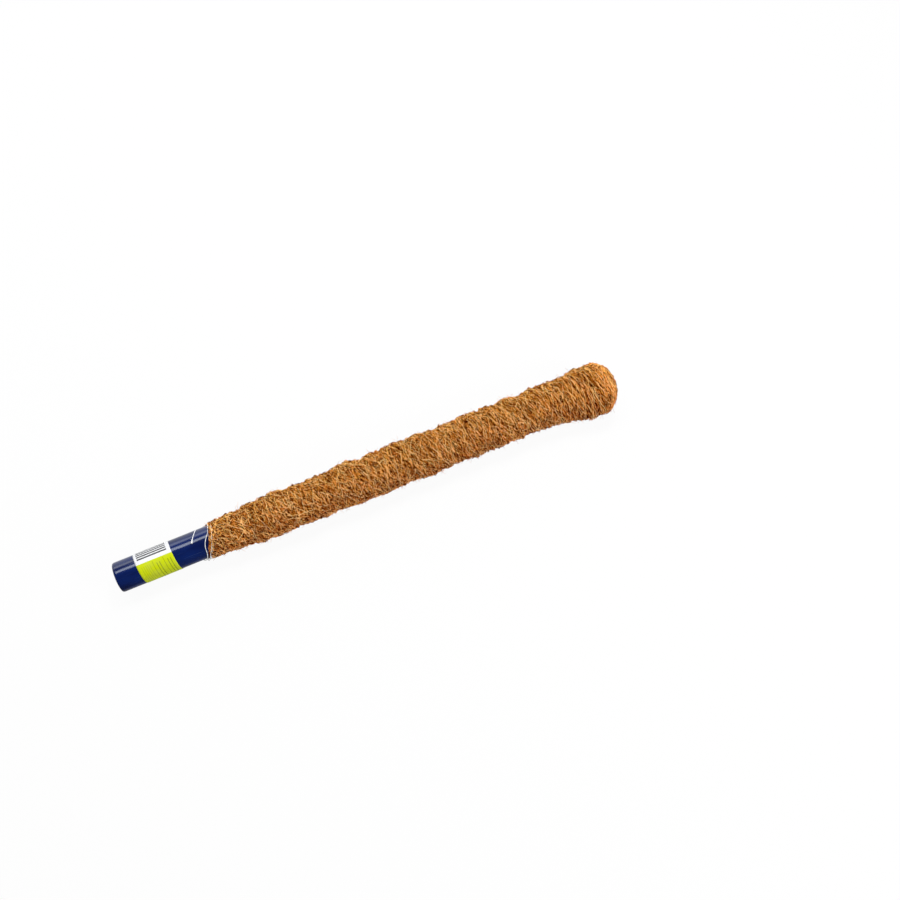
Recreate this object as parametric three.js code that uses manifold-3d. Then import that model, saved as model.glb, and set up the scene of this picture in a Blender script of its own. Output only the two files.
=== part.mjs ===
// Coir pole for climbing plants, lying on its side: a plastic pipe, bare at the foot, that is
// wrapped in bunches of coconut fibre bound on with nylon thread. Millimetres, +Z up.
// The pole runs along X. Angles round it start at the top and grow towards the front, -Y.
import * as THREE from 'three';
import { mergeVertices } from 'three/addons/utils/BufferGeometryUtils.js';
import Module from 'manifold-3d';

// Pipe
const pipeLength = 578;
const pipeDiameter = 34;
const pipeWall = 2;
const pipeChamfer = 0.5;       // taken off both rims of the sawn ends

// Label
const labelFoot = 23;          // from the foot of the pipe to the label's back edge
const labelLength = 40;        // along the pipe
const labelWrap = 268;         // degrees round the pipe
const labelThickness = 0.2;
const labelCorner = 3;
const labelBackAngle = -80;    // degrees, where its back edge lies
const labelSkew = 6;           // it is stuck on askew: its front edge lies this much further up

// Coir bunches
const barePipe = 102;          // pipe left bare, up to the middle of the slanting coir edge
const bunchCount = 10;
const footThickness = 1.7;     // of the coir on the pipe, at its lower edge
const coirThickness = 7.6;     // at the bulges
const topThickness = 14;       // at the flared top, on average
const footTaper = 100;         // length in which the coir reaches its full thickness
const topFlare = 80;           // length of the flare at the top
const flareLean = 5;           // the flare stands out this much more on one side than on average
const flareSide = 110;         // degrees, that side
const neckDepth = 2.2;         // how far the thread draws the coir in between two bunches
const neckReach = 8;           // how far along the pole that draws it in
const footSlant = 7;           // the coir's edge leans this far each way
const footSlantAngle = -12;    // degrees, the side where that edge is highest
const neckSlant = 2.4;         // the other necks lean less, each to its own side
const neckTurn = 137;          // degrees from the lean of one neck to that of the next
const lumpHeight = 0.8;
const lumpLength = 47;         // along the pole, from lump to lump
const flatDepth = 0.5;         // the underside is pressed flat this deep where it lies

// Crown
const domeHeight = 22;
const domeFullness = 1.9;      // 2 is an ellipse, less is more pointed
const plugLength = 30;         // pushed into the pipe's mouth

// Binding thread
const threadDiameter = 0.8;
const threadSpacing = 1.8;     // from turn to turn in a neck
const neckTurns = 1.5;         // turns in each neck, before the thread crosses to the next
const crossingTurns = 0.5;
const threadLift = 3;          // run in which it climbs from the pipe on to the coir
const tailReach = 21;          // the tip of its loose tail lies this far below the coir's edge
const tailRise = 11;           // and the tail's other end this far
const tailAngle = 5;           // degrees, where that tip lies
const slackReach = 7;          // the slack loop on the bare pipe lies this far below the edge
const edgeReach = 1.5;         // on each side of that loop it runs close under the edge

// Clearances and mesh steps
const gap = 0.3;               // between pieces that press on each other
const labelGap = 0.1;          // under the label
const bunchSteps = 12;
const sides = 24;              // round the coir, and steps in a turn of the thread
const pipeSides = 48;
const threadSides = 6;

const { cos, sin, PI } = Math;
const { lerp, smoothstep, degToRad } = THREE.MathUtils;
const pipeRadius = pipeDiameter / 2;
const boreRadius = pipeRadius - pipeWall;
const bunchLength = (pipeLength - barePipe) / bunchCount;
const restHeight = pipeRadius + coirThickness - flatDepth;
const threadRadius = threadDiameter / 2;
const turn = 2 * PI;

const wasm = await Module();
wasm.setup();

// A point of the pole: its distance from the foot, from the axis, and its angle round the pole.
function polePoint(x, radius, angle) {
  return new THREE.Vector3(x, -radius * sin(angle), radius * cos(angle));
}

// A closed solid through a row of outlines that have the same number of points. The row runs
// round to its start, or ends in flat faces.
function loft(outlines, runsRound) {
  const count = outlines[0].length;
  const rows = outlines.length;
  const index = [];
  for (let row = 0; row < (runsRound ? rows : rows - 1); row++) {
    for (let i = 0; i < count; i++) {
      const a = row * count + i;
      const b = row * count + (i + 1) % count;
      const next = ((row + 1) % rows) * count;
      const c = next + (i + 1) % count;
      const d = next + i;
      index.push(a, c, b, a, d, c);
    }
  }
  if (!runsRound) {
    const last = (rows - 1) * count;
    for (let i = 1; i < count - 1; i++) {
      index.push(0, i, i + 1);
      index.push(last, last + i + 1, last + i);
    }
  }
  const geometry = new THREE.BufferGeometry().setFromPoints(outlines.flat());
  geometry.setIndex(index);
  return geometry;
}

// A profile of (radius, distance from the foot) points turned round the pole.
function revolve(profile, steps) {
  const points = profile.map(([radius, x]) => new THREE.Vector2(radius, x));
  const geometry = new THREE.LatheGeometry(points, steps).rotateZ(-PI / 2);
  geometry.deleteAttribute('normal');
  geometry.deleteAttribute('uv');
  return mergeVertices(geometry);
}

function toManifold(geometry) {
  const vertProperties = Float32Array.from(geometry.attributes.position.array);
  const triVerts = Uint32Array.from(geometry.index.array);
  return new wasm.Manifold(new wasm.Mesh({ numProp: 3, vertProperties, triVerts }));
}

function fromManifold(solid) {
  const mesh = solid.getMesh();
  const geometry = new THREE.BufferGeometry();
  geometry.setAttribute('position', new THREE.BufferAttribute(mesh.vertProperties, 3));
  geometry.setIndex(new THREE.BufferAttribute(mesh.triVerts, 1));
  return geometry;
}

// The coir is pressed flat where the pole lies on it.
function pressFlat(geometry) {
  const reach = 2 * (pipeLength + domeHeight);
  const ground = new THREE.BoxGeometry(reach, reach, reach);
  ground.translate(0, 0, -restHeight - reach / 2);
  ground.deleteAttribute('normal');
  ground.deleteAttribute('uv');
  return fromManifold(toManifold(geometry).subtract(toManifold(mergeVertices(ground))));
}

// Where a neck lies at an angle round the pole. Neck 0 is the coir's lower edge, the last one
// is level with the pipe's mouth, and the others lean over, each to its own side.
function neckAt(neck, angle) {
  const level = barePipe + neck * bunchLength;
  if (neck === bunchCount) return level;
  const slant = neck === 0 ? footSlant : neckSlant;
  return level + slant * cos(angle - degToRad(footSlantAngle + neck * neckTurn));
}

// How far the coir may stand out at an angle: freely at the top and sides, and not underneath.
function freedom(angle) {
  return 1 - Math.max(0, -cos(angle)) ** 2;
}

// The coir's radius in a bunch, at a share of the way from its lower neck to its upper one.
function coirRadius(bunch, share, angle) {
  const x = lerp(neckAt(bunch, angle), neckAt(bunch + 1, angle), share);
  const taper = smoothstep(x, barePipe - footSlant, barePipe + footTaper);
  const flare = smoothstep(x, pipeLength - topFlare, pipeLength);
  const body = pipeRadius + lerp(footThickness, coirThickness, taper);
  const lean = flareLean * cos(angle - degToRad(flareSide));
  const flared = (topThickness - coirThickness + lean) * flare;
  const along = turn * x / lumpLength;
  const lumpy = (sin(2 * angle + along) + sin(3 * angle - 2 * along)) / 2;
  const lump = lumpHeight * lumpy * taper * (1 - flare);
  const fromLower = share * bunchLength / neckReach;
  const fromUpper = (1 - share) * bunchLength / neckReach;
  const lowerDip = bunch > 0 ? Math.exp(-(fromLower ** 2)) : 0;
  const upperDip = bunch < bunchCount - 1 ? Math.exp(-(fromUpper ** 2)) : 0;
  return body + (flared + lump) * freedom(angle) - neckDepth * (lowerDip + upperDip);
}

function pipe() {
  const mouth = pipeLength;
  return revolve([
    [boreRadius + pipeChamfer, 0],
    [pipeRadius - pipeChamfer, 0],
    [pipeRadius, pipeChamfer],
    [pipeRadius, mouth - pipeChamfer],
    [pipeRadius - pipeChamfer, mouth],
    [boreRadius + pipeChamfer, mouth],
    [boreRadius, mouth - pipeChamfer],
    [boreRadius, pipeChamfer],
    [boreRadius + pipeChamfer, 0],
  ], pipeSides);
}

// A curved sheet with rounded corners, lofted round the pipe.
function label() {
  const step = turn / pipeSides;
  const inner = (pipeRadius + labelGap) / cos(step / 2);
  const outer = inner + labelThickness;
  const width = degToRad(labelWrap) * inner;
  const cornerSteps = 4;
  const flatSteps = Math.ceil((width - 2 * labelCorner) / (inner * step));
  const places = [];
  for (let i = 0; i < cornerSteps; i++) places.push(labelCorner * (1 - cos(i * PI / 2 / cornerSteps)));
  for (let i = 0; i <= flatSteps; i++) places.push(lerp(labelCorner, width - labelCorner, i / flatSteps));
  for (let i = cornerSteps - 1; i >= 0; i--) places.push(width - places[i]);
  return loft(places.map((place) => {
    const intoCorner = Math.max(0, labelCorner - Math.min(place, width - place));
    const inset = labelCorner - Math.sqrt(labelCorner ** 2 - intoCorner ** 2);
    const angle = degToRad(labelBackAngle) + place / inner;
    const askew = labelSkew * place / width;
    const start = labelFoot + askew + inset;
    const end = labelFoot + labelLength + askew - inset;
    return [
      polePoint(start, inner, angle),
      polePoint(start, outer, angle),
      polePoint(end, outer, angle),
      polePoint(end, inner, angle),
    ];
  }), false);
}

// One bunch of fibre, a lumpy sleeve between two necks. Its points lie closer near the necks.
function coirBunch(bunch) {
  const inner = (pipeRadius + gap) / cos(turn / sides / 2);
  const outlines = Array.from({ length: sides }, (_, side) => {
    const angle = side * turn / sides;
    const start = neckAt(bunch, angle) + gap / 2;
    const end = neckAt(bunch + 1, angle) - gap / 2;
    const outline = [polePoint(start, inner, angle)];
    for (let step = 0; step <= bunchSteps; step++) {
      const share = (1 - cos(PI * step / bunchSteps)) / 2;
      outline.push(polePoint(lerp(start, end, share), coirRadius(bunch, share, angle), angle));
    }
    outline.push(polePoint(end, inner, angle));
    return outline;
  });
  return pressFlat(loft(outlines, true));
}

// The wad in the pipe's mouth, with a domed head that follows the rim of the last bunch.
function coirCrown() {
  const plugRadius = boreRadius * cos(turn / pipeSides / 2) - gap;
  const seat = pipeLength + gap;
  const headRadius = pipeRadius + topThickness;
  const domeSteps = 7;
  const profile = [[0, seat - plugLength], [plugRadius, seat - plugLength], [plugRadius, seat]];
  for (let step = 0; step <= domeSteps; step++) {
    const rise = step * PI / 2 / domeSteps;
    const radius = step < domeSteps ? headRadius * cos(rise) ** (2 / domeFullness) : 0;
    profile.push([radius, seat + (domeHeight - gap) * sin(rise) ** (2 / domeFullness)]);
  }
  const geometry = revolve(profile, sides);
  const place = geometry.attributes.position;
  for (let i = 0; i < place.count; i++) {
    const angle = Math.atan2(-place.getY(i), place.getZ(i));
    const onHead = Math.hypot(place.getY(i), place.getZ(i)) > pipeRadius || place.getX(i) > seat + gap;
    const swell = onHead ? coirRadius(bunchCount - 1, 1, angle) / headRadius : 1;
    place.setXYZ(i, place.getX(i), place.getY(i) * swell, place.getZ(i) * swell);
  }
  return pressFlat(geometry);
}

// The radius of what the thread lies on. It climbs from the bare pipe on to the coir's edge.
function bedRadius(x, angle) {
  let bunch = 0;
  while (bunch < bunchCount - 1 && x > neckAt(bunch + 1, angle)) bunch++;
  const lower = neckAt(bunch, angle);
  const share = Math.max(0, (x - lower) / (neckAt(bunch + 1, angle) - lower));
  const edge = neckAt(0, angle) - threadRadius - gap;
  return lerp(pipeRadius, coirRadius(bunch, share, angle), smoothstep(x, edge - threadLift, edge));
}

// The start of the thread, as turns from its loose tail and distance from the coir's edge: the
// tail on the bare pipe, a slack loop there, and the climb on to the coir for two turns.
const threadStart = [
  [0, -tailReach],
  [1 / 5, -tailRise],
  [4 / 5, -edgeReach],
  [19 / 20, -slackReach],
  [11 / 10, -edgeReach],
  [11 / 6, threadSpacing],
  [17 / 6, 2 * threadSpacing],
];
const startTurns = threadStart.at(-1)[0];
const neckPeriod = neckTurns + crossingTurns;
const threadTurns = startTurns + (bunchCount - 1) * neckPeriod;

// Where the thread lies along the pole after so many turns.
function threadAt(turns, angle) {
  if (turns < startTurns) {
    const next = threadStart.findIndex(([at]) => at > turns);
    const [from, fromPlace] = threadStart[next - 1];
    const [to, toPlace] = threadStart[next];
    return neckAt(0, angle) + lerp(fromPlace, toPlace, smoothstep(turns, from, to));
  }
  const neck = Math.min(Math.floor((turns - startTurns) / neckPeriod), bunchCount - 2);
  const into = turns - startTurns - neck * neckPeriod;
  const halfBand = neckTurns * threadSpacing / 2;
  const leaves = neckAt(neck, angle) + (neck === 0 ? threadStart.at(-1)[1] : halfBand);
  const arrives = neckAt(neck + 1, angle) - halfBand;
  const laid = Math.max(0, into - crossingTurns) * threadSpacing;
  return lerp(leaves, arrives, smoothstep(into, 0, crossingTurns)) + laid;
}

// One unbroken tube: tail, slack loop, coir edge, then turns in each neck and a crossing between.
function bindingThread() {
  const steps = Math.round(threadTurns * sides);
  const centres = [];
  const outlines = [];
  for (let step = 0; step <= steps; step++) {
    const angle = degToRad(tailAngle) - step * turn / sides;
    const x = threadAt(step / sides, angle);
    const radius = bedRadius(x, angle) + gap + threadRadius;
    centres.push(polePoint(x, radius, angle));
    outlines.push(Array.from({ length: threadSides }, (_, side) => {
      const around = side * turn / threadSides;
      return polePoint(x + threadRadius * cos(around), radius + threadRadius * sin(around), angle);
    }));
  }
  reportThread(centres);
  return loft(outlines, false);
}

// Prints the thread's length and its least gap to itself, between points half a turn apart or more.
function reportThread(centres) {
  let length = 0;
  let least = Infinity;
  for (let i = 1; i < centres.length; i++) length += centres[i].distanceTo(centres[i - 1]);
  for (let i = 0; i < centres.length; i++) {
    for (let j = i + Math.ceil(sides / 2); j < centres.length; j++) {
      least = Math.min(least, centres[i].distanceTo(centres[j]) - threadDiameter);
    }
  }
  console.log(`binding_thread: ${length.toFixed(0)} mm long, least gap to itself ${least.toFixed(2)} mm`);
}

const navyPlastic = new THREE.MeshStandardMaterial({ color: 0x0b1a55, roughness: 0.28, metalness: 0 });
const labelPaper = new THREE.MeshStandardMaterial({ color: 0xc9d70a, roughness: 0.5, metalness: 0 });
const coir = new THREE.MeshStandardMaterial({ color: 0x9a5f26, roughness: 0.95, metalness: 0 });
const nylon = new THREE.MeshStandardMaterial({ color: 0xe6e4dc, roughness: 0.35, metalness: 0 });

const pole = new THREE.Group();
function addPiece(name, geometry, material) {
  const mesh = new THREE.Mesh(geometry, material);
  mesh.name = name;
  pole.add(mesh);
}

addPiece('pipe', pipe(), navyPlastic);
addPiece('label', label(), labelPaper);
for (let bunch = 0; bunch < bunchCount; bunch++) {
  addPiece(`coir_bunch_${String(bunch + 1).padStart(2, '0')}`, coirBunch(bunch), coir);
}
addPiece('coir_crown', coirCrown(), coir);
addPiece('binding_thread', bindingThread(), nylon);

// The part's origin is under the middle of the pole, on the surface that it lies on.
const middle = new THREE.Box3().setFromObject(pole).getCenter(new THREE.Vector3());
pole.position.set(-middle.x, -middle.y, restHeight);

const part = new THREE.Group();
part.add(pole);
part.updateMatrixWorld(true);

export default part;
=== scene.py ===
# Looks of a coir pole for climbing plants that lies on its side: a glossy pipe, a ruled sticker,
# wound coconut fibre and a clear binding thread. Metres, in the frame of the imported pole.
import math

import bpy
import numpy as np
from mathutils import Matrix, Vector


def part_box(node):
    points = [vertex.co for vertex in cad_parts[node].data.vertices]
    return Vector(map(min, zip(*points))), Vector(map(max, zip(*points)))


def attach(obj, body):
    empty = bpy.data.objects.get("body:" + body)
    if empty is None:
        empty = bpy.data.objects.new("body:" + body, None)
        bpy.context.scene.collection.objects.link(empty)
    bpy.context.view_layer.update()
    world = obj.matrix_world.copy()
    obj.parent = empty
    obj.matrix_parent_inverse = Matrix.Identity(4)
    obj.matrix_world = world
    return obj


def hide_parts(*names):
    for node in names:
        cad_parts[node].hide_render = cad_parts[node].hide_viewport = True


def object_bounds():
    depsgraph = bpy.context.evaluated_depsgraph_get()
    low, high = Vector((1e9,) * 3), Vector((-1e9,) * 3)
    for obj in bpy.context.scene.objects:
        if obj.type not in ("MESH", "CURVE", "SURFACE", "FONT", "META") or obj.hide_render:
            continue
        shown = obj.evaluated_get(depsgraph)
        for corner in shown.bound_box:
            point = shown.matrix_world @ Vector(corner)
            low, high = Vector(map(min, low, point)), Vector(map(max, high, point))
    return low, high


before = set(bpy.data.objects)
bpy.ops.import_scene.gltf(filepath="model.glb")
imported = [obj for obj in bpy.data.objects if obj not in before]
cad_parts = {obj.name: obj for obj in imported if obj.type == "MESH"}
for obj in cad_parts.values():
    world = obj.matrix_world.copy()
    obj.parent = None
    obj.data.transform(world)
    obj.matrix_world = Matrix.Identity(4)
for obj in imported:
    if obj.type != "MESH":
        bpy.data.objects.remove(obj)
cadLow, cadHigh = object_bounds()
scene = bpy.context.scene
scene.view_settings.view_transform = "Standard"
mm = 0.001
turn = 2 * math.pi
tiny = 1e-12                                    # keeps divisions by a length from failing
noTris = np.zeros((0, 3), int)

pipeLow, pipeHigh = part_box("pipe")
pole = dict(
    foot=pipeLow.x,
    length=pipeHigh.x - pipeLow.x,              # of the pipe
    reach=cadHigh.x - pipeLow.x,                # to the tip of the crown
    axisY=(pipeLow.y + pipeHigh.y) / 2,
    axisZ=(pipeLow.z + pipeHigh.z) / 2,
    pipeRadius=(pipeHigh.z - pipeLow.z) / 2,
)


# a point from its distance to the foot, its distance to the axis, and its angle from top to front
def polePoint(x, radius, angle):
    x, radius, angle = np.broadcast_arrays(x, radius, angle)
    y = pole["axisY"] - radius * np.sin(angle)
    return np.stack([pole["foot"] + x, y, pole["axisZ"] + radius * np.cos(angle)], -1)


# 3t^2 - 2t^3, where t runs from 0 at low to 1 at high
def smoothStep(x, low, high):
    t = np.clip((x - low) / (high - low), 0, 1)
    return t * t * (3 - 2 * t)


# the value at a share of the way from the first of a pair to the second
def spanned(pair, share):
    return pair[0] + (pair[1] - pair[0]) * share


print("stage: shader tools")


# one socket of a node tree; sums and products of wires add Math nodes
class Wire:
    blur = 0.002                                # half the width of the edge of a window
    fade = (0.7, 1.3)                           # a line fades between these shares of its half width

    def __init__(self, tree, socket=None):
        self.tree, self.socket = tree, socket

    def node(self, kind, settings=None, inputs=None, out=0):
        made = self.tree.nodes.new(kind)
        for name, value in (settings or {}).items():
            if name == "stops":
                while len(made.color_ramp.elements) < len(value):
                    made.color_ramp.elements.new(1)
                for element, (place, colour) in zip(made.color_ramp.elements, value):
                    element.position, element.color = place, (*colour, 1)
            else:
                setattr(made, name, value)
        for name, value in (inputs or {}).items():
            if isinstance(value, Wire):
                self.tree.links.new(value.socket, made.inputs[name])
            else:
                made.inputs[name].default_value = value
        return Wire(self.tree, made.outputs[out] if len(made.outputs) else None)

    def coordinates(self, kind):
        return self.node("ShaderNodeTexCoord", None, None, kind)

    def maths(self, operation, a, b):
        return self.node("ShaderNodeMath", {"operation": operation}, {0: a, 1: b})

    def ramp(self, *stops):
        return self.node("ShaderNodeValToRGB", {"stops": stops}, {0: self})

    def mixed(self, *pair):                     # the first colour where this is 0, the second where it is 1
        a, b = (colour if isinstance(colour, Wire) else (*colour, 1) for colour in pair)
        return self.node("ShaderNodeMix", {"data_type": "RGBA"}, {0: self, 6: a, 7: b}, 2)

    def scaled(self, *scale):                   # a vector, stretched along each axis
        return self.node("ShaderNodeMapping", None, {"Vector": self, "Scale": scale})

    def noise(self, scale, detail=2):
        return self.node("ShaderNodeTexNoise", None, {"Vector": self, "Scale": scale, "Detail": detail})

    def bump(self, strength):                   # a normal, from this as a height in millimetres
        return self.node("ShaderNodeBump", None, {"Strength": strength, "Distance": mm, "Height": self})

    def between(self, low, high):               # 0 under low, 1 over high, smooth in between
        settings = {"interpolation_type": "SMOOTHSTEP"}
        return self.node("ShaderNodeMapRange", settings, {0: self, 1: low, 2: high})

    def past(self, place):                      # 0 before the place, 1 after it
        return self.between(place - self.blur, place + self.blur)

    def window(self, low, high):                # 1 from low to high
        return self.past(low) * (1 - self.past(high))

    def line(self, place, half):                # 1 within half of the place
        off = self.maths("ABSOLUTE", self - place, 0)
        return 1 - off.between(self.fade[0] * half, self.fade[1] * half)

    def lines(self, first, pitch, half):        # the same at every pitch
        off = self.maths("PINGPONG", (self - first) * (1 / pitch), 0.5)
        return 1 - off.between(self.fade[0] * half / pitch, self.fade[1] * half / pitch)

    def axes(self, count):                      # the parts of a vector
        parts = self.node("ShaderNodeSeparateXYZ", None, {0: self}).socket.node
        return [Wire(self.tree, parts.outputs[k]) for k in range(count)]

    def __add__(self, other): return self.maths("ADD", self, other)
    def __radd__(self, other): return self.maths("ADD", other, self)
    def __sub__(self, other): return self.maths("SUBTRACT", self, other)
    def __rsub__(self, other): return self.maths("SUBTRACT", other, self)
    def __mul__(self, other): return self.maths("MULTIPLY", self, other)
    def __rmul__(self, other): return self.maths("MULTIPLY", other, self)


# a wire to start from, in the emptied node tree of a material or world
def emptyTree(owner):
    owner.use_nodes = True
    owner.node_tree.nodes.clear()
    return Wire(owner.node_tree)


# a material whose recipe gives the values and wires of the Principled sockets
def makeFinish(name, recipe):
    material = bpy.data.materials.new(name)
    w = emptyTree(material)
    w.node("ShaderNodeOutputMaterial", None, {0: w.node("ShaderNodeBsdfPrincipled", None, recipe(w))})
    return material


print("stage: mesh tools")


# a mesh object from points, four-cornered and three-cornered faces, and maps given for each point
def makePiece(name, material, points, quads, tris=noTris, uv=None, attributes=None):
    corners = np.concatenate([quads.ravel(), tris.ravel()]).astype(np.int32)
    starts = np.concatenate([np.arange(len(quads)) * 4, len(quads) * 4 + np.arange(len(tris)) * 3])
    mesh = bpy.data.meshes.new(name)
    mesh.vertices.add(len(points))
    mesh.vertices.foreach_set("co", np.ascontiguousarray(points, np.float32).ravel())
    mesh.loops.add(len(corners))
    mesh.loops.foreach_set("vertex_index", corners)
    mesh.polygons.add(len(starts))
    mesh.polygons.foreach_set("loop_start", starts.astype(np.int32))
    mesh.materials.append(material)
    mesh.update(calc_edges=True)
    mesh.shade_smooth()
    if uv is not None:
        layer = mesh.uv_layers.new(name="OFBake")
        layer.uv.foreach_set("vector", np.ascontiguousarray(uv[corners], np.float32).ravel())
    for key, values in (attributes or {}).items():
        data = mesh.attributes.new(key, "FLOAT", "POINT").data
        data.foreach_set("value", np.ascontiguousarray(values, np.float32))
    mesh.validate()
    piece = bpy.data.objects.new(name, mesh)
    scene.collection.objects.link(piece)
    return piece


def settle(piece, slot, *nodes):
    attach(piece, "root")
    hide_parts(*nodes)


# faces of a grid of points, rows by columns, that may close on itself either way
def gridQuads(rows, columns, closeRows=False, closeColumns=False):
    i, j = np.meshgrid(np.arange(rows if closeRows else rows - 1),
                       np.arange(columns if closeColumns else columns - 1), indexing="ij")
    i2, j2 = (i + 1) % rows, (j + 1) % columns
    corners = [i * columns + j, i2 * columns + j, i2 * columns + j2, i * columns + j2]
    return np.stack(corners, -1).reshape(-1, 4)


# tubes: a ring of sides carried along each path, square to it, with both ends closed
def pathTubes(paths, radius, sides):
    count, steps = paths.shape[:2]
    along = np.gradient(paths, axis=1)
    along /= np.linalg.norm(along, axis=2, keepdims=True) + tiny
    away = paths - np.array([0, pole["axisY"], pole["axisZ"]])
    away[..., 0] = 0.1 * mm                     # outwards from the pole, and never nothing
    side = np.cross(along, away)
    side /= np.linalg.norm(side, axis=2, keepdims=True) + tiny
    up = np.cross(side, along)
    around = np.arange(sides)[:, None] * turn / sides
    ring = np.cos(around) * up[:, :, None] + np.sin(around) * side[:, :, None]
    points = paths[:, :, None] + radius[:, :, None, None] * ring
    first = np.arange(count)[:, None, None] * steps * sides
    fan = np.stack([np.zeros(sides - 2, int), np.arange(1, sides - 1), np.arange(2, sides)], 1)
    ends = np.concatenate([fan, (steps - 1) * sides + fan[:, ::-1]])
    quads = gridQuads(steps, sides, closeColumns=True)
    return points.reshape(-1, 3), (first + quads).reshape(-1, 4), (first + ends).reshape(-1, 3)


print("stage: camera, light and floor")
view = dict(azimuth=-23.374, elevation=69.061, distance=1.13934,
            target=(0.08997, -0.00204, 0.0243), lens=40, sensor=36)
light = dict(
    world=0.44, white=(1, 1, 1, 1),
    dark=0.93, ceiling=(0.3, 0.8), front=(-0.5, 0.1),       # what mirrors see less of, and where it starts
    floorColour=0.66, floorGlow=0.94, floorMirrorShade=0.60, floorSeam=0.05, floorReach=4.0,
    lamps=[                                     # place, length and width, power
        ((0, 0.66, 1.6), (1.6, 0.55), 15),
        ((0, 1.4, 0.75), (1.8, 0.5), 5),
        ((0.5, 0.5, 1.5), (0.35, 0.35), 11),
        ((1.1, -1.1, 1.0), (0.6, 0.6), 16),
    ],
)


def makeCamera():
    azimuth, elevation = math.radians(view["azimuth"]), math.radians(view["elevation"])
    flat = math.cos(elevation)
    back = Vector((math.sin(azimuth) * flat, -math.cos(azimuth) * flat, math.sin(elevation)))
    data = bpy.data.cameras.new("photoView")
    data.lens, data.sensor_width = view["lens"], view["sensor"]
    camera = bpy.data.objects.new("photoView", data)
    camera.location = Vector(view["target"]) + view["distance"] * back
    camera.rotation_euler = back.to_track_quat("Z", "Y").to_euler()
    scene.collection.objects.link(camera)
    scene.camera = camera


# 1 for each ray that sees the background itself: straight, from the camera or through something
# clear, and by reflection
def seenRays(w):
    path = w.node("ShaderNodeLightPath").socket.node
    kinds = ("Camera", "Glossy", "Transmission")
    camera, glossy, through = (Wire(w.tree, path.outputs[f"Is {kind} Ray"]) for kind in kinds)
    return w.maths("MAXIMUM", camera, through), glossy


# the world is white where it is seen and weaker as a light; in mirrors its ceiling and front are dark
def makeRoom():
    scene.world = bpy.data.worlds.new("studio")
    w = emptyTree(scene.world)
    straight, glossy = seenRays(w)
    toBack, toTop = w.coordinates("Generated").axes(3)[1:]
    dark = w.maths("MAXIMUM", toTop.between(*light["ceiling"]), 1 - toBack.between(*light["front"]))
    strength = light["world"] + (1 - light["world"]) * w.maths("MAXIMUM", straight, glossy)
    strength = strength - light["dark"] * (glossy * dark)
    glow = w.node("ShaderNodeBackground", None, {"Color": light["white"], "Strength": strength})
    w.node("ShaderNodeOutputWorld", None, {0: glow})


# the floor is nearly white where it is seen and takes the shadow; in mirrors its front is darkened, a
# painted shade that the pipe's lower edge reflects
def makeFloor():
    material = bpy.data.materials.new("paleFloor")
    w = emptyTree(material)
    straight, glossy = seenRays(w)
    toBack = w.coordinates("Object").axes(2)[1].between(-light["floorSeam"], light["floorSeam"])
    # painted shade: in reflections the floor in front of the pole is made almost black
    grey = light["floorColour"] - light["floorMirrorShade"] * (glossy * (1 - toBack))
    matte = w.node("ShaderNodeBsdfDiffuse", None, {"Color": grey})
    white = w.node("ShaderNodeEmission", None, {"Color": light["white"]})
    seen = light["floorGlow"] * w.maths("MAXIMUM", straight, glossy * toBack)
    both = w.node("ShaderNodeMixShader", None, {0: seen, 1: matte, 2: white})
    w.node("ShaderNodeOutputMaterial", None, {0: both})
    corners = light["floorReach"] * np.array([[-1, -1, 0], [1, -1, 0], [1, 1, 0], [-1, 1, 0]])
    makePiece("floor", material, corners, np.array([[0, 1, 2, 3]]))


def makeLamps():
    for number, (place, size, power) in enumerate(light["lamps"]):
        data = bpy.data.lights.new(f"softLamp{number}", "AREA")
        data.shape, data.size, data.size_y, data.energy = "RECTANGLE", *size, power
        lamp = bpy.data.objects.new(data.name, data)
        lamp.location = place
        lamp.rotation_euler = Vector(place).to_track_quat("Z", "Y").to_euler()
        scene.collection.objects.link(lamp)


makeCamera()
makeRoom()
makeFloor()
makeLamps()

print("stage: pipe")
pipe = dict(
    wall=2 * mm, rimLength=2.4 * mm, rimDepth=1.2 * mm, boreRim=0.6 * mm,
    sides=160, wallSteps=24, rimSteps=7,
    navy=(0.0, 0.0040, 0.050), navyPale=(0.0004, 0.0110, 0.098), scuff=(0.010, 0.040, 0.15),
    cloudScale=(22, 75, 75), scratchScale=(22, 700, 700), dentScale=(18, 70, 70),      # of noise, per metre
    clouded=(0.3, 0.7), scratched=(0.60, 0.74), scratchColour=0.35, scratchDepth=0.05, dents=0.45,
    smooth=0.10, cloudRough=0.12, scratchRough=0.2, ior=1.58, shineTint=(0.9, 0.97, 1, 1),
)


# pipe: navy, paler in clouds, with scratches along it and shallow dents
def pipeRecipe(w):
    place = w.coordinates("Object")
    cloud = place.scaled(*pipe["cloudScale"]).noise(1, 3)
    scratch = place.scaled(*pipe["scratchScale"]).noise(1, 3).between(*pipe["scratched"])
    colour = cloud.between(*pipe["clouded"]).mixed(pipe["navy"], pipe["navyPale"])
    colour = (pipe["scratchColour"] * scratch).mixed(colour, pipe["scuff"])
    dents = place.scaled(*pipe["dentScale"]).noise(1, 2) + pipe["scratchDepth"] * scratch
    roughness = pipe["smooth"] + pipe["cloudRough"] * cloud + pipe["scratchRough"] * scratch
    return {"Base Color": colour, "Roughness": roughness, "IOR": pipe["ior"],
            "Specular Tint": pipe["shineTint"], "Normal": dents.bump(pipe["dents"])}


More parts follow.
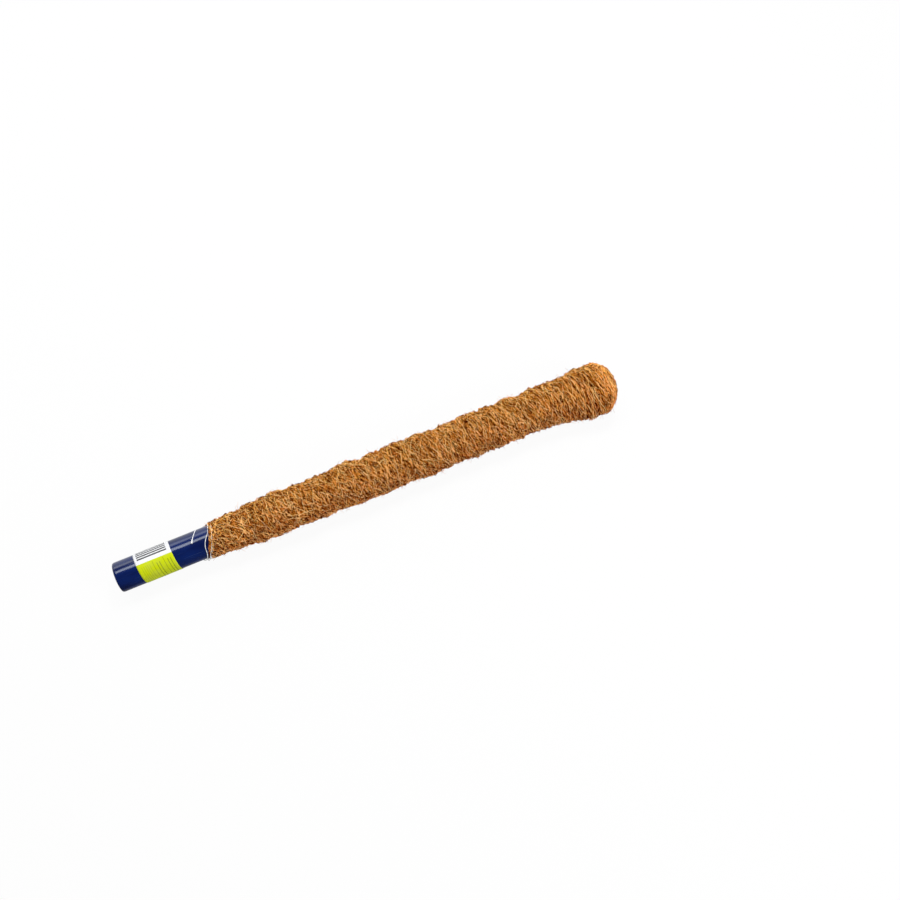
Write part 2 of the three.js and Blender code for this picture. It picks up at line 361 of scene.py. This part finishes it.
# pipe: the section of the wall with rims rounded by quarter ellipses, turned about the axis
def makePipe():
    outer, inner, length = pole["pipeRadius"], pole["pipeRadius"] - pipe["wall"], pole["length"]
    a, b, q = pipe["rimLength"], pipe["rimDepth"], pipe["boreRim"]
    bend = np.linspace(0, math.pi / 2, pipe["rimSteps"])
    s, c = np.sin(bend), np.cos(bend)
    walls = np.linspace(2 * a, length - 2 * a, pipe["wallSteps"])
    radius = np.concatenate([outer - b + b * s, 0 * walls + outer, outer - b + b * c,
                             inner + q - q * s, 0 * walls + inner, inner + q - q * c])
    x = np.concatenate([a - a * c, walls, length - a + a * s,
                        length - q + q * c, walls[::-1], q - q * s])
    angle = np.arange(pipe["sides"])[:, None] * turn / pipe["sides"]
    points = polePoint(x, radius, angle).reshape(-1, 3)
    quads = gridQuads(pipe["sides"], len(x), True, True)
    piece = makePiece("pipe_wall", makeFinish("navyPlastic", pipeRecipe), points, quads)
    settle(piece, "pipe_plastic", "pipe")


makePipe()

print("stage: sticker")
label = dict(
    foot=23 * mm, length=40 * mm, skew=6 * mm, corner=3 * mm, lift=0.1 * mm, thick=0.2 * mm,
    wrap=268, back=-80, limeFrom=4.5,           # degrees
    rows=140, columns=30,
    white=(0.70, 0.71, 0.73), lime=(0.50, 0.58, 0.002), stain=(0.30, 0.30, 0.25),
    limeInk=(0.09, 0.11, 0.01), greyInk=(0.035, 0.035, 0.04),
    # ruled lines, in shares of the sticker: where they lie round from the lime's edge and along the
    # pipe, their first place, pitch and half width, and how dark they are
    divider=dict(around=(0.02, 0.48), places=(0.43, 0.73), half=0.005, ink=0.75),
    fine=dict(around=(0.05, 0.40), along=(0.08, 0.38), lines=(0.06, 0.055, 0.0045), ink=0.45),
    bold=dict(around=(0.06, 0.44), along=(0.48, 0.95), lines=(0.53, 0.075, 0.008), ink=0.8),
    boldGap=(0.66, 0.80),
    bars=dict(around=(-0.25, -0.05), along=(0.07, 0.90), lines=(-0.07, 0.04, 0.012), ink=0.95),
    stainScale=140, stained=(0.35, 0.75), stainColour=0.08, smooth=0.32, stainRough=0.15,
    wrinkleScale=(60, 25, 25), wrinkles=0.15, shine=0.15,
)


# sticker: white at the back and lime at the front, each with plain ruled lines
def labelRecipe(w):
    around, along = w.node("ShaderNodeUVMap", {"uv_map": "OFBake"}).axes(2)
    edge = (label["limeFrom"] - label["back"]) / label["wrap"]

    def across(rule):                           # 1 where the rule lies round the pipe
        return around.window(*(edge + share for share in rule["around"]))

    divider, fine, bold, bars = (label[name] for name in ("divider", "fine", "bold", "bars"))
    dividers = across(divider) * sum(along.line(place, divider["half"]) for place in divider["places"])
    fines = across(fine) * along.window(*fine["along"]) * along.lines(*fine["lines"])
    bolds = across(bold) * along.window(*bold["along"]) * along.lines(*bold["lines"])
    bolds = bolds * (1 - along.window(*label["boldGap"]))
    barFirst, *barRest = bars["lines"]
    barLines = along.window(*bars["along"]) * across(bars) * around.lines(edge + barFirst, *barRest)
    place = w.coordinates("Object")
    stain = place.noise(label["stainScale"], 3).between(*label["stained"])
    colour = around.past(edge).mixed(label["white"], label["lime"])
    ink = divider["ink"] * dividers + fine["ink"] * fines + bold["ink"] * bolds
    colour = ink.mixed(colour, label["limeInk"])
    colour = (bars["ink"] * barLines).mixed(colour, label["greyInk"])
    colour = (label["stainColour"] * stain).mixed(colour, label["stain"])
    wrinkles = place.scaled(*label["wrinkleScale"]).noise(1)
    return {"Base Color": colour, "Roughness": label["smooth"] + label["stainRough"] * stain,
            "Specular IOR Level": label["shine"], "Normal": wrinkles.bump(label["wrinkles"])}


# sticker: a sheet bent round the pipe, stuck on askew, with rounded corners and a thin edge
def makeLabel():
    inner = pole["pipeRadius"] + label["lift"]
    width = math.radians(label["wrap"]) * inner
    place = 0.5 * width * (1 - np.cos(np.linspace(0, math.pi, label["rows"])))[:, None]
    into = np.maximum(0, label["corner"] - np.minimum(place, width - place))
    inset = label["corner"] - np.sqrt(label["corner"] ** 2 - into ** 2)
    along = inset + (label["length"] - 2 * inset) * np.linspace(0, 1, label["columns"])
    x = label["foot"] + label["skew"] * place / width + along
    angle = math.radians(label["back"]) + place / inner
    face, back = polePoint(x, inner + label["thick"], angle), polePoint(x, inner, angle)
    points = np.concatenate([face, back[:, ::-1]], 1)
    rows, columns = points.shape[:2]
    k = np.arange(label["columns"] - 1)
    cap = np.stack([k, k + 1, columns - 2 - k, columns - 1 - k], 1)
    quads = np.concatenate([gridQuads(rows, columns, closeColumns=True),
                            cap, (rows - 1) * columns + cap[:, ::-1]])
    v = np.concatenate([along, along[:, ::-1]], 1) / label["length"]
    uv = np.stack([np.repeat(place / width, columns, 1), v], -1).reshape(-1, 2)
    finish = makeFinish("stickerFilm", labelRecipe)
    settle(makePiece("sticker", finish, points.reshape(-1, 3), quads, uv=uv), "label_film", "label")


makeLabel()

print("stage: coir surface")
coir = dict(
    bare=102 * mm, bunches=10, thickFoot=1.7 * mm, thick=7.1 * mm, thickTop=14 * mm,
    taper=100 * mm, flare=80 * mm, flareLean=5 * mm, flareSide=110,
    neckDepth=(1.2 * mm, 2.0 * mm), neckReach=8 * mm, neckSlant=2.4 * mm, neckTurn=137,
    footSlant=9 * mm, footSide=-35,
    dome=pole["reach"] - pole["length"], fullness=1.9, domeSteps=200,
    lumpSeed=11, lumpFoot=0.5,                  # the share of their height that lumps have at the foot
    lump=1.0 * mm, lumpWaves=14, lumpAlong=(60, 320), lumpAround=6,     # radians per metre, waves per turn
    tuft=0.6 * mm, tuftWaves=40, tuftAlong=(320, 1100), tuftAround=12,
    slimAt=224 * mm, slimReach=20 * mm, slim=2.1 * mm,      # one stretch is thinner than the rest
    offPipe=0.3 * mm,
)
coir["bunchLength"] = (pole["length"] - coir["bare"]) / coir["bunches"]
coir["middle"] = pole["pipeRadius"] + coir["thick"]


# waves over the coir: for each its rate along the pole, its number round it, and where it starts
def drawWaves(rng, kind):
    count, around = coir[kind + "Waves"], coir[kind + "Around"]
    along = rng.uniform(*coir[kind + "Along"], count)
    return list(zip(along, rng.integers(-around, around + 1, count), rng.uniform(0, turn, count)))


lumpRng = np.random.default_rng(coir["lumpSeed"])
lumpWaves = drawWaves(lumpRng, "lump")
neckDepth = lumpRng.uniform(*coir["neckDepth"], coir["bunches"])
tuftWaves = drawWaves(lumpRng, "tuft")


# the necks between bunches are rings that lean over; neck 0 is the slanting lower edge
def neckAt(neck, angle):
    slant = np.where(neck == 0, coir["footSlant"], coir["neckSlant"])
    lean = np.radians(coir["footSide"] + neck * coir["neckTurn"])
    return coir["bare"] + neck * coir["bunchLength"] + slant * np.cos(angle - lean)


# the sum of sine waves, scaled so that its mean square is 1
def waveSum(waves, x, angle):
    total = sum(np.sin(along * x + around * angle + start) for along, around, start in waves)
    return math.sqrt(2 / len(waves)) * total


# radius of the coir: it tapers at the foot, flares to one side at the top, has lumps and tufts that are
# sums of sine waves, and is drawn in at each neck by a bell curve
def coirRadius(x, angle):
    free = 1 - np.maximum(0, -np.cos(angle)) ** 2           # nothing stands out underneath
    taper = smoothStep(x, coir["bare"] - coir["footSlant"], coir["bare"] + coir["taper"])
    flare = smoothStep(x, pole["length"] - coir["flare"], pole["length"])
    body = pole["pipeRadius"] + coir["thickFoot"] + (coir["thick"] - coir["thickFoot"]) * taper
    lumps = coir["lump"] * waveSum(lumpWaves, x, angle) + coir["tuft"] * waveSum(tuftWaves, x, angle)
    lumps = lumps * spanned((coir["lumpFoot"], 1), taper)
    dips = sum(neckDepth[neck] * np.exp(-((x - neckAt(neck, angle)) / coir["neckReach"]) ** 2)
               for neck in range(1, coir["bunches"]))
    lean = coir["flareLean"] * np.cos(angle - math.radians(coir["flareSide"]))
    flared = (coir["thickTop"] - coir["thick"] + lean) * flare
    slim = coir["slim"] * np.exp(-((x - coir["slimAt"]) / coir["slimReach"]) ** 2)
    return body + (flared + lumps) * free - dips - slim


# the profile of the dome, a superellipse from its tip to its rim: the share of the rim's radius, and x,
# by the distance from the tip
domeAngle = np.linspace(math.pi / 2, 0, coir["domeSteps"])
domeShare = np.cos(domeAngle).clip(0) ** (2 / coir["fullness"])
domeX = pole["length"] + coir["dome"] * np.sin(domeAngle) ** (2 / coir["fullness"])
domeRun = np.hypot(np.diff(domeShare) * (pole["pipeRadius"] + coir["thickTop"]), np.diff(domeX))
domeReach = np.append(0, np.cumsum(domeRun))
rimReach = domeReach[-1]


# radius under the floor's limit: the pole lies on its flattened underside
def aboveFloor(radius, angle, clear):
    downwards = np.maximum(-np.cos(angle), 1e-3)            # never nothing
    return np.minimum(radius, (pole["axisZ"] - clear) / downwards)


# a point of a strand, lifted off the coir, from x along the pole and its angle; where x runs past the
# rim, the rest of it is followed over the dome towards the tip, and the lift turns along the pole
def onCoir(x, angle, lift, thick):
    over = np.clip(x - pole["length"], 0, rimReach)
    share = np.interp(rimReach - over, domeReach, domeShare)
    least = pole["pipeRadius"] + coir["offPipe"] - lift
    side = np.maximum(coirRadius(np.minimum(x, pole["length"]), angle), least)
    lean = over / rimReach
    radius = aboveFloor(side * share + lift * (1 - lean), angle, thick)
    xOn = np.where(over > 0, np.interp(rimReach - over, domeReach, domeX), x) + lift * lean
    return polePoint(xOn, radius, angle)


print("stage: coir strands")
strand = dict(
    steps=6, sides=3, seed=5,
    lean=18, leanLess=5, loose=1.25, looseLess=0.55,        # at the foot, and how much less at the top
    pastMouth=5 * mm, waver=0.12, waverWaves=(1, 3), ripple=0.2, rippleWaves=(1, 4),
    loosen=0.45,                                # jitter of the places, in mean distances between tufts
    memberLength=(0.75, 1.1), headingJitter=1.5, curlJitter=0.12, fanShape=(0.5, 1.6), bowShare=(0.4, 1),
    ragged=(-2.0, 3.0), turnedBack=0.25,        # at the lower edge
    tipPower=6, tipFrom=1.15, tipLeast=0.3,     # how strands thin at both ends
    depthJitter=0.06, paleLeast=0.12, palePower=0.75, paleJitter=0.08,
    # painted shade: strands that lie deeper than this share of the lift are darkened, down to this share of
    # their tint
    paintedShadeDepth=0.5, paintedShadeLeast=0.1,             # strands under this depth are darker, down to this share
    families=dict(                              # lengths, thicknesses, lifts, fans and bows in mm
        # the tints follow the lifts: the deep under strands are dark as painted shade, the top net strands
        # pale partly as painted highlight, and the specks are dark bits of pith laid on top that also paint
        # the shade of pits
        under=dict(tufts=90, members=3, length=(25, 55), thick=(0.25, 0.45), spread=25, curl=0.6,
                   lift=(-3.4, -2.2), tint=(0.0, 0.22), fan=0.5, bow=0),
        main=dict(tufts=2900, members=1, length=(6, 22), thick=(0.18, 0.44), spread=17, curl=0.25,
                  lift=(-2.6, 0.0), tint=(0.02, 1.02), fan=0.20, bow=0),
        net=dict(tufts=260, members=1, length=(10, 28), thick=(0.25, 0.40), spread=24, curl=0.45,
                 lift=(-0.3, 0.5), tint=(0.84, 1.06), fan=0, bow=0),
        snag=dict(tufts=150, members=3, length=(4, 9), thick=(0.18, 0.38), spread=45, curl=1.0,
                  lift=(-1.3, -0.3), tint=(0.05, 0.7), fan=0.3, bow=2.3),
        pitShadeSpeck=dict(tufts=620, members=1, length=(2, 5), thick=(0.34, 0.58), spread=25, curl=0.3,
                   lift=(-0.2, 0.3), tint=(0.0, 0.08), fan=0, bow=0),
    ),
    hairs=100, hairLength=(3, 11), hairRise=(0.15, 0.9), hairThick=(0.11, 0.22), hairTint=(0.2, 0.8),
    hairCurl=0.9, hairBend=(0.8, 1.8), hairRoot=0.8 * mm, hairPast=5 * mm, hairThin=0.6,
)
fromMiddle = np.linspace(-0.5, 0.5, strand["steps"])        # the places along a strand


# thickness along a strand, 1 in the middle and less at both tips
def thinned(t):
    return np.clip(strand["tipFrom"] - (2 * t) ** strand["tipPower"], strand["tipLeast"], 1)


# running sums of the cosine and the sine of a heading, each about its own mean
def traced(heading, stride):
    ways = [np.cumsum(part, 1) * stride for part in (np.cos(heading), np.sin(heading))]
    return [way - way.mean(1, keepdims=True) for way in ways]


# draws that fill a box evenly: running sums of the powers of 1/g, where g^(kinds + 1) = g + 1
def evenDraws(rng, count, kinds):
    g, rounds = 1.2, 30                         # a first guess that each round brings nearer
    for _ in range(rounds):
        g = (1 + g) ** (1 / (kinds + 1))
    return (rng.random(kinds) + np.arange(count)[:, None] * g ** -np.arange(1.0, kinds + 1)).T % 1


# strands wind round the coir: the heading starts at the lean, turns by the curl and wavers by a sine,
# the path is the running sum of its cosine round the pole and its sine along it, and bows lift it midway
def windStrands(rng, family, start, end, lean, loose, top, share=1):
    tufts, members, t = round(share * family["tufts"]), family["members"], fromMiddle
    n = tufts * members
    placeDraw, angleDraw, depthDraw, paleDraw = evenDraws(rng, tufts, 4)
    loosen = strand["loosen"] * math.sqrt((end - start) * turn * coir["middle"] / tufts)

    def each(values, jitter=0.0):               # a value for each tuft, shared by its members
        return np.repeat(values, members)[:, None] + jitter * rng.standard_normal((n, 1))

    def sines(waves):                           # a sine along each strand
        return np.sin(turn * (rng.uniform(*waves, (n, 1)) * t + rng.random((n, 1))))

    length = each(rng.uniform(*family["length"], tufts)) * mm * rng.uniform(*strand["memberLength"], (n, 1))
    heading = np.radians(each(rng.normal(lean, loose * family["spread"], tufts), strand["headingJitter"]))
    heading = heading + each(rng.normal(0, family["curl"], tufts), strand["curlJitter"]) * t
    wave = sines(strand["waverWaves"])
    heading = heading + strand["waver"] * rng.standard_normal((n, 1)) * wave
    around, x = traced(heading, length / (strand["steps"] - 1))
    spread = family["fan"] * mm * (strand["fanShape"][0] + strand["fanShape"][1] * np.abs(t))
    x = x + each(spanned((start, end), placeDraw), loosen) + spread * rng.standard_normal((n, 1))
    around = around + spread * rng.standard_normal((n, 1))
    angle = each(turn * angleDraw, loosen / coir["middle"]) + around / coir["middle"]
    edge = neckAt(0, angle) + rng.uniform(*strand["ragged"], (n, 1)) * mm
    x = np.where(x < edge, edge + strand["turnedBack"] * (edge - x), x)
    x = np.minimum(x, top)
    radius = spanned(family["thick"], rng.random((n, 1)) ** 2) * mm * thinned(t)
    depth = each(depthDraw, strand["depthJitter"])
    height = spanned(family["lift"], depth) + strand["ripple"] * sines(strand["rippleWaves"])
    height = height + family["bow"] * rng.uniform(*strand["bowShare"], (n, 1)) * np.cos(math.pi * t)
    pale = each(spanned((strand["paleLeast"], 1), paleDraw ** strand["palePower"]), strand["paleJitter"])
    # painted shade: the deeper a strand lies among the others, the darker its tint
    pale = pale * spanned((strand["paintedShadeLeast"], 1), np.minimum(1, depth / strand["paintedShadeDepth"]))
    tint = spanned(family["tint"], pale)
    return onCoir(x, angle, height * mm, radius), radius, np.clip(tint[:, 0], 0, 1)


# stray hairs leave the coir at a low angle and bend as they go
def straysFrom(rng, start, end):
    n, t = strand["hairs"], np.linspace(0, 1, strand["steps"])
    length = rng.uniform(*strand["hairLength"], (n, 1)) * mm
    rise = rng.uniform(*strand["hairRise"], (n, 1))
    heading = rng.uniform(0, turn, (n, 1)) + rng.normal(0, strand["hairCurl"], (n, 1)) * t
    stride = length * np.cos(rise) / (strand["steps"] - 1)
    x = rng.uniform(start, end, (n, 1)) + np.cumsum(np.sin(heading), 1) * stride
    angle = rng.uniform(0, turn, (n, 1)) + np.cumsum(np.cos(heading), 1) * stride / coir["middle"]
    x = np.maximum(x, neckAt(0, angle) - strand["hairPast"] * t)
    lift = length * np.sin(rise) * t ** rng.uniform(*strand["hairBend"], (n, 1)) - strand["hairRoot"]
    radius = rng.uniform(*strand["hairThick"], (n, 1)) * mm * (1 - strand["hairThin"] * t)
    return onCoir(x, angle, lift, radius), radius, rng.uniform(*strand["hairTint"], n)


coirTones = dict(
    red=[(0.0, (0.045, 0.005, 0.0003)), (0.25, (0.200, 0.031, 0.002)), (0.5, (0.60, 0.146, 0.019)),
         (0.75, (0.85, 0.297, 0.068)), (0.9, (0.95, 0.445, 0.145)), (1.0, (0.97, 0.59, 0.265))],
    straw=[(0.0, (0.045, 0.008, 0.0003)), (0.25, (0.200, 0.049, 0.002)), (0.5, (0.59, 0.202, 0.017)),
           (0.75, (0.83, 0.365, 0.056)), (0.9, (0.94, 0.525, 0.125)), (1.0, (0.97, 0.66, 0.245))],
    roughness=0.7, shine=0.02,
    # painted light: strands towards the lit top and back are more straw, those on the shaded front and
    # underside more red
    strawMean=0.42, paintedLightSway=0.28, paintedLightSide=-40,          # more straw on one side
    strawJitter=0.25, strawMost=0.99,
    levels=48, hues=4,                          # the columns of the map, a colour to each
    # the mat's tint is nearly black: painted shade deep in the coir
    columnFill=(-0.3, 0, 0.3), rowFill=(0.02, 0.98), matShare=0.25, matFill=0.96, matShadeTint=0.03,
)


# coir: from dark to pale by tint, and from red to straw by hue; the tint and hue carry painted shade by
# depth and painted light by side besides each strand's own tone
def coirRecipe(w):
    tint, hue = (w.node("ShaderNodeAttribute", {"attribute_name": name}, None, "Fac")
                 for name in ("tint", "hue"))
    colour = hue.mixed(tint.ramp(*coirTones["red"]), tint.ramp(*coirTones["straw"]))
    return {"Base Color": colour, "Roughness": coirTones["roughness"],
            "Specular IOR Level": coirTones["shine"]}


coirFinish = makeFinish("coconutFibre", coirRecipe)


# one piece of coir: strands over a mat made dark as painted shade, with maps of their colours
def makeCoirPiece(name, node, rng, groups, matPoints, matQuads, matUv, matTris=noTris):
    paths, radius, tint = (np.concatenate(parts) for parts in zip(*groups))
    steps, sides, n = strand["steps"], strand["sides"], len(tint)
    points, quads, tris = pathTubes(paths, radius, sides)
    levels, hues, first = coirTones["levels"], coirTones["hues"], coirTones["matShare"]
    level = np.round(tint * (levels - 1))
    middle = paths[:, steps // 2]
    angle = np.arctan2(pole["axisY"] - middle[:, 1], middle[:, 2] - pole["axisZ"])
    # painted light: the hue leans to straw on the lit side and to red on the shaded side
    litSway = coirTones["paintedLightSway"] * np.cos(angle - math.radians(coirTones["paintedLightSide"]))
    straw = coirTones["strawMean"] + litSway + coirTones["strawJitter"] * rng.standard_normal(n)
    hue = np.floor(hues * np.clip(straw, 0, coirTones["strawMost"]))
    column = first + (1 - first) * (level * hues + hue + 0.5) / (levels * hues)
    side = np.tile(np.array(coirTones["columnFill"]) * (1 - first) / (levels * hues), n * steps)
    v = np.tile(np.repeat(np.linspace(*coirTones["rowFill"], steps), sides), n)
    strandUv = np.stack([np.repeat(column, steps * sides) + side, v], 1)

    def spread(perStrand, onMat):               # a value for each point of the strands and of the mat
        return np.concatenate([np.repeat(perStrand, steps * sides), np.full(len(matPoints), onMat)])

    # the mat takes a near-black tint, painted shade deep among the strands
    attributes = dict(tint=spread(level / (levels - 1), coirTones["matShadeTint"]),
                      hue=spread(hue / (hues - 1), 0.0))
    piece = makePiece(name, coirFinish, np.concatenate([points, matPoints]),
                      np.concatenate([quads, matQuads + len(points)]),
                      np.concatenate([tris, matTris + len(points)]),
                      uv=np.concatenate([strandUv, matUv]), attributes=attributes)
    settle(piece, "coir", node)


mat = dict(steps=24, sides=110, depth=2.4 * mm, gap=0.3 * mm, least=0.3 * mm, offFloor=0.5 * mm)


# map of a mat, as many columns as it has sides, with rows from low to high
def matMap(rows, low, high):
    across = np.linspace(0, coirTones["matShare"] * coirTones["matFill"], mat["sides"])
    grid = np.meshgrid(np.linspace(low, high, rows), across, indexing="ij")
    return np.stack(grid[::-1], -1).reshape(-1, 2)


# mat: a closed sleeve between two necks, the coir surface lowered outside and just off the pipe inside
def matSleeve(number):
    angle = np.arange(mat["sides"]) * turn / mat["sides"]
    low = neckAt(number, angle)
    last = number == coir["bunches"] - 1
    high = np.full_like(angle, pole["length"]) if last else neckAt(number + 1, angle)
    x = spanned((low, high), np.linspace(0, 1, mat["steps"])[:, None])
    inner = np.full_like(x, pole["pipeRadius"] + mat["gap"])
    outer = np.maximum(coirRadius(x, angle) - mat["depth"], inner + mat["least"])
    outer = aboveFloor(outer, angle, mat["offFloor"])
    points = np.concatenate([polePoint(x, outer, angle), polePoint(x, inner, angle)[::-1]])
    rows = len(points)
    return points.reshape(-1, 3), gridQuads(rows, mat["sides"], True, True)[:, ::-1], matMap(rows, 0, 1)


# bunch: tangled at the foot of the pole and combed at the top
def makeBunch(number):
    rng = np.random.default_rng(strand["seed"] + number)
    start = coir["bare"] + number * coir["bunchLength"]
    end = start + coir["bunchLength"]
    combed = (number / (coir["bunches"] - 1)) ** 2
    lean = strand["lean"] - strand["leanLess"] * combed
    loose = strand["loose"] - strand["looseLess"] * combed
    top = pole["length"] + strand["pastMouth"]
    groups = [windStrands(rng, family, start, end, lean, loose, top)
              for family in strand["families"].values()]
    groups.append(straysFrom(rng, start, end))
    name = f"coir_bunch_{number + 1:02d}"
    makeCoirPiece(name + "_fibre", name, rng, groups, *matSleeve(number))


for number in range(coir["bunches"]):
    makeBunch(number)

print("stage: coir crown")
crown = dict(                                   # pairs of lengths, thicknesses and lifts in mm
    seed=41, strands=420, length=(15, 45), thick=(0.16, 0.36), lift=(-2.0, 0.4), curl=0.9,
    # painted shade: the share of a crown strand's tint that its depth sets, darker deeper
    tint=(0.1, 0.95), depthShade=0.4, spill=4 * mm, skirt=8 * mm,
    ring=110, ringPlace=(2 * mm, 14 * mm), ringSlant=2.5 * mm, ringLength=(25, 60), ringLift=(-0.6, 0.6),
    ringTint=(0.6, 1.0),
    woundFrom=-3 * mm, wound=0.8, woundTop=0.95, lean=6, loose=1.2, share=0.6,     # the winding on the dome
    plugLength=30 * mm, plugGap=0.5 * mm, seatGap=0.3 * mm, backInset=1 * mm, tipDepth=1.5 * mm,
    matSteps=22, matFrom=0.06, mapRows=(0.03, 0.97),
)


# strands across the dome: straight or bent lines on a flat map of it, whose distance from the middle
# is the way from the tip
def crossStrands(rng):
    n, t = crown["strands"], fromMiddle
    stride = rng.uniform(*crown["length"], (n, 1)) * mm / (strand["steps"] - 1)
    heading = rng.uniform(0, turn, (n, 1)) + rng.normal(0, crown["curl"], (n, 1)) * t
    middle = (rimReach + crown["spill"]) * np.sqrt(rng.random((n, 1)))
    bearing = rng.uniform(0, turn, (n, 1))
    across, up = traced(heading, stride)
    across, up = across + middle * np.cos(bearing), up + middle * np.sin(bearing)
    reach = np.minimum(np.hypot(across, up), rimReach + crown["skirt"])
    depth = rng.random((n, 1))
    radius = rng.uniform(*crown["thick"], (n, 1)) * mm * thinned(t)
    # painted shade: the deeper a crown strand lies, the darker its tint
    pale = crown["depthShade"] * depth[:, 0] + (1 - crown["depthShade"]) * rng.random(n)
    x, lift = pole["length"] + rimReach - reach, spanned(crown["lift"], depth) * mm
    paths = onCoir(x, np.arctan2(up, across), lift, radius)
    return paths, radius, np.clip(spanned(crown["tint"], pale), 0, 1)


# strands round the shoulder of the dome, where the winding ends in a pale bundle
def ringStrands(rng):
    n, t = crown["ring"], fromMiddle
    length = rng.uniform(*crown["ringLength"], (n, 1)) * mm
    x = pole["length"] + rng.uniform(*crown["ringPlace"], (n, 1))
    x = x + rng.normal(0, crown["ringSlant"], (n, 1)) * t
    angle = rng.uniform(0, turn, (n, 1)) + length * t / (pole["pipeRadius"] + coir["thickTop"])
    radius = rng.uniform(*crown["thick"], (n, 1)) * mm * thinned(t)
    lift = rng.uniform(*crown["ringLift"], (n, 1)) * mm
    return onCoir(x, angle, lift, radius), radius, rng.uniform(*crown["ringTint"], n)


# mat of the crown: the lowered dome, its flat back round the pipe's mouth, and the plug in the pipe
def crownMat():
    sides = mat["sides"]
    angle = np.arange(sides) * turn / sides
    plugRadius = pole["pipeRadius"] - pipe["wall"] - crown["plugGap"]
    place = np.linspace(crown["matFrom"], 1, crown["matSteps"])[:, None] * rimReach
    rim = aboveFloor(coirRadius(pole["length"], angle) - mat["depth"], angle, mat["offFloor"])
    x = np.interp(place, domeReach, domeX) - crown["tipDepth"] * (1 - place / rimReach)
    dome = polePoint(x, rim * np.interp(place, domeReach, domeShare), angle)
    seat = pole["length"] + crown["seatGap"]
    plugEnd = seat - crown["plugLength"]
    backRadius = np.stack([rim - crown["backInset"], 0 * rim + plugRadius, 0 * rim + plugRadius])
    back = polePoint(np.array([seat, seat, plugEnd])[:, None], backRadius, angle)
    ends = polePoint(np.array([pole["reach"] - crown["tipDepth"], plugEnd]), 0, 0)
    points = np.concatenate([dome.reshape(-1, 3), back.reshape(-1, 3), ends])
    rows = len(dome) + len(back)
    k = np.arange(sides)
    k2, last, tip = (k + 1) % sides, (rows - 1) * sides, rows * sides
    fans = np.concatenate([np.stack([0 * k + tip, k, k2], 1),
                           np.stack([0 * k + tip + 1, last + k2, last + k], 1)])
    centre = coirTones["matShare"] / 2
    uv = np.concatenate([matMap(rows, *crown["mapRows"]), [[centre, 0], [centre, 1]]])
    return points, gridQuads(rows, sides, closeColumns=True), uv, fans


# crown: the winding goes on over the shoulder of the dome, and other strands cross the top
def makeCrown():
    rng = np.random.default_rng(crown["seed"])
    start, end = pole["length"] + crown["woundFrom"], pole["length"] + crown["wound"] * rimReach
    top = pole["length"] + crown["woundTop"] * rimReach
    groups = [windStrands(rng, family, start, end, crown["lean"], crown["loose"], top, crown["share"])
              for family in strand["families"].values()]
    groups += [crossStrands(rng), ringStrands(rng), straysFrom(rng, pole["length"], pole["reach"])]
    makeCoirPiece("coir_crown_fibre", "coir_crown", rng, groups, *crownMat())


makeCrown()

print("stage: binding thread")
thread = dict(
    radius=0.4 * mm, spacing=1.8 * mm, neckTurns=1.5, crossTurns=0.5, stepsInTurn=60, sides=6,
    tailAngle=5,                                # degrees, and then turns from the tip and mm from the edge
    start=[(0, -21), (1 / 5, -15), (4 / 5, -1.5), (19 / 20, -6), (11 / 10, -1.5), (11 / 6, 1.8),
           (17 / 6, 3.6)],
    climb=3 * mm, sunk=2.4 * mm, sinkRun=9 * mm, bedded=0.9, bead=2.0, beadLength=3.2 * mm,
    clean=(0.90, 0.91, 0.91), dusty=(0.50, 0.29, 0.10), dustRun=10 * mm,
    roughness=0.25, clear=0.2, ior=1.5,
)


# thread: clean on the bare pipe and brown with dust in the coir
def threadRecipe(w):
    along = w.coordinates("Object").axes(1)[0]
    edge = pole["foot"] + coir["bare"] + coir["footSlant"]
    colour = along.between(edge, edge + thread["dustRun"]).mixed(thread["clean"], thread["dusty"])
    return {"Base Color": colour, "Roughness": thread["roughness"],
            "Transmission Weight": thread["clear"], "IOR": thread["ior"]}


# thread: one line that winds back from the tail on the pipe, along the lower edge and round each neck,
# its place along the pole eased from stop to stop; it sinks into the coir, and its tip is a melted bead
def makeThread():
    begin = np.array(thread["start"])
    startTurns, period = begin[-1, 0], thread["neckTurns"] + thread["crossTurns"]
    total = startTurns + (coir["bunches"] - 1) * period
    turns = np.linspace(0, total, round(total * thread["stepsInTurn"]) + 1)
    angle = math.radians(thread["tailAngle"]) - turn * turns
    k = np.clip(np.searchsorted(begin[:, 0], turns, side="right") - 1, 0, len(begin) - 2)
    eased = smoothStep(turns, begin[k, 0], begin[k + 1, 0])
    first = neckAt(0, angle) + spanned((begin[k, 1], begin[k + 1, 1]), eased) * mm
    neck = np.clip(np.floor((turns - startTurns) / period), 0, coir["bunches"] - 2)
    into = turns - startTurns - neck * period
    halfBand = thread["neckTurns"] * thread["spacing"] / 2
    leaves = neckAt(neck, angle) + np.where(neck == 0, begin[-1, 1] * mm, halfBand)
    arrives = neckAt(neck + 1, angle) - halfBand
    laid = np.maximum(0, into - thread["crossTurns"]) * thread["spacing"]
    later = spanned((leaves, arrives), smoothStep(into, 0, thread["crossTurns"])) + laid
    x = np.where(turns < startTurns, first, later)
    edge = neckAt(0, angle) - thread["radius"]
    onto = smoothStep(x, edge - thread["climb"], edge)
    sunk = thread["sunk"] * smoothStep(x - neckAt(0, angle), 0, thread["sinkRun"])
    bed = spanned((pole["pipeRadius"], coirRadius(x, angle) - sunk), onto)
    fromTip = turns * turn * pole["pipeRadius"]
    radius = thread["radius"] * (1 + thread["bead"] * np.exp(-(fromTip / thread["beadLength"]) ** 2))
    centre = aboveFloor(bed + thread["bedded"] * radius, angle, radius)
    points, quads, tris = pathTubes(polePoint(x, centre, angle)[None], radius[None], thread["sides"])
    piece = makePiece("nylon_thread", makeFinish("clearNylon", threadRecipe), points, quads, tris)
    settle(piece, "nylon_thread", "binding_thread")


makeThread()
